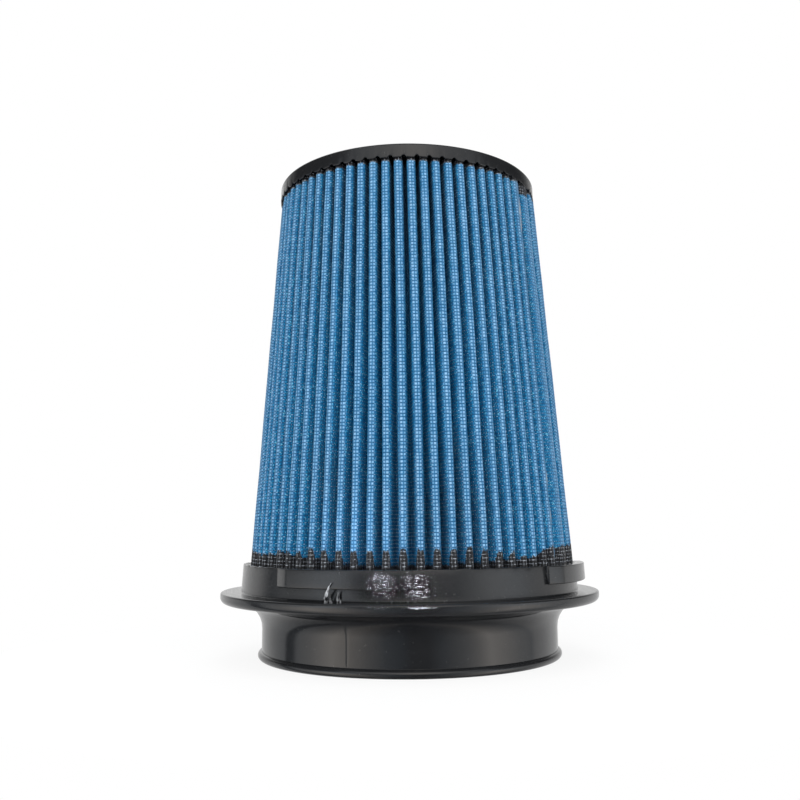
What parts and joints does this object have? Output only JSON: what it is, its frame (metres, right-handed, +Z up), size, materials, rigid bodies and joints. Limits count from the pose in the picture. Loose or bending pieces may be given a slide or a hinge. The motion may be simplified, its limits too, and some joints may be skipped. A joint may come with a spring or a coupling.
{
  "type": "cone air filter",
  "caption": "Tapered air filter: pleated gauze between woven wire screens, closed soft cap, moulded base with bayonet lugs and a clamp neck.",
  "frame": {"origin": "centre of the bottom rim, where the base stands", "axes": "+Z up along the filter's axis, -Y is the side seen in the picture, +X to its right"},
  "size_m": [0.196, 0.196, 0.2505],
  "materials": {
    "mounting_base": "semi-gloss moulded polyurethane",
    "end_cap": "semi-gloss moulded polyurethane",
    "outer_screen": "woven wire over blue oiled gauze",
    "filter_media": "blue oiled cotton gauze",
    "inner_screen": "woven wire",
    "seam_strip": "dried adhesive and cut sheet edge"
  },
  "bodies": {
    "root": {"mounting_base": "mounting_base", "end_cap": "end_cap", "outer_screen": "outer_screen", "filter_media": "filter_media", "inner_screen": "inner_screen", "seam_strip": "seam_strip"}
  },
  "joints": []
}
